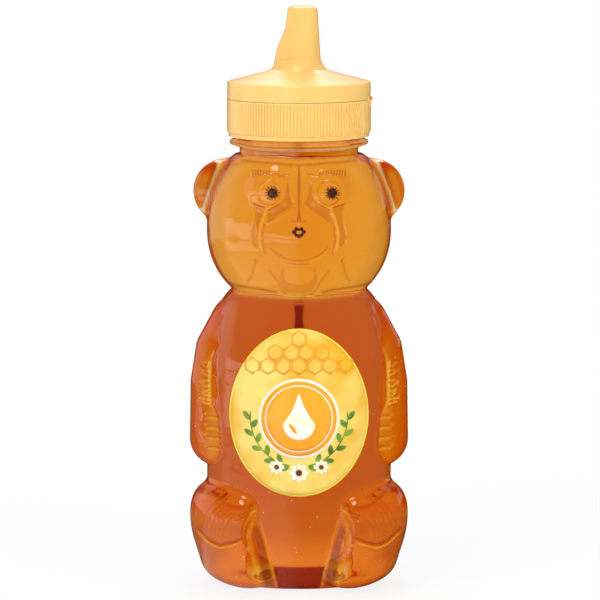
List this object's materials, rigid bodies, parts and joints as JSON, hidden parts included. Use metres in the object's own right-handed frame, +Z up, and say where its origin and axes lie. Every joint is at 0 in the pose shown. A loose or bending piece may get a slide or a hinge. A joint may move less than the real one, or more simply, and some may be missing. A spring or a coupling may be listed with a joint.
{
  "type": "honey bear bottle",
  "caption": "Clear squeeze bottle shaped as a sitting bear, filled with honey, with a ribbed screw cap whose tall flip lid closes a pouring spout.",
  "frame": {"origin": "centre of the bottle's footprint, on the surface that it stands on", "axes": "+Z up along the neck's axis, the bear faces -Y, +X is to the right when looking at its face"},
  "size_m": [0.0638, 0.0525, 0.1686],
  "materials": {
    "pet_skin": "clear blown PET, glossy inside and outside",
    "honey": "clear amber honey, wet",
    "foil": "bright foil with a heat-seal lacquer",
    "foam": "expanded polyethylene foam, matte",
    "cap_plastic": "moulded polypropylene, pale yellow, satin gloss",
    "label_film": "printed film, semi-gloss",
    "ink": "dark brown printing ink"
  },
  "bodies": {
    "bottle": {"bear_bottle": "pet_skin", "honey": "honey", "foil_seal": "foil", "front_label": "label_film", "left_pupil": "ink", "right_pupil": "ink", "nose_print": "ink"},
    "liner": {"cap_liner": "foam"},
    "cap": {"cap_base": "cap_plastic", "hinge_film": "cap_plastic", "hinge_strap_front": "cap_plastic", "hinge_strap_rear": "cap_plastic"},
    "lid": {"flip_lid": "cap_plastic"}
  },
  "joints": [
    {"name": "cap_rise", "type": "slide", "parent": "bottle", "child": "liner", "axis": [0, 0, 1], "range_m": [0, 0.0064]},
    {"name": "cap_turn", "type": "hinge", "parent": "liner", "child": "cap", "pos_m": [0, 0, 0.136], "axis": [0, 0, 1], "range_deg": [0, 540]},
    {"name": "lid_flip", "type": "hinge", "parent": "cap", "child": "lid", "pos_m": [0.02105, 0, 0.142], "axis": [0, 1, 0], "range_deg": [0, 170], "deforming": ["hinge_strap_front", "hinge_strap_rear"]}
  ],
  "couplings": [
    {"joint": "cap_rise", "follows": "cap_turn", "m_per_rad": 0.0006737}
  ]
}
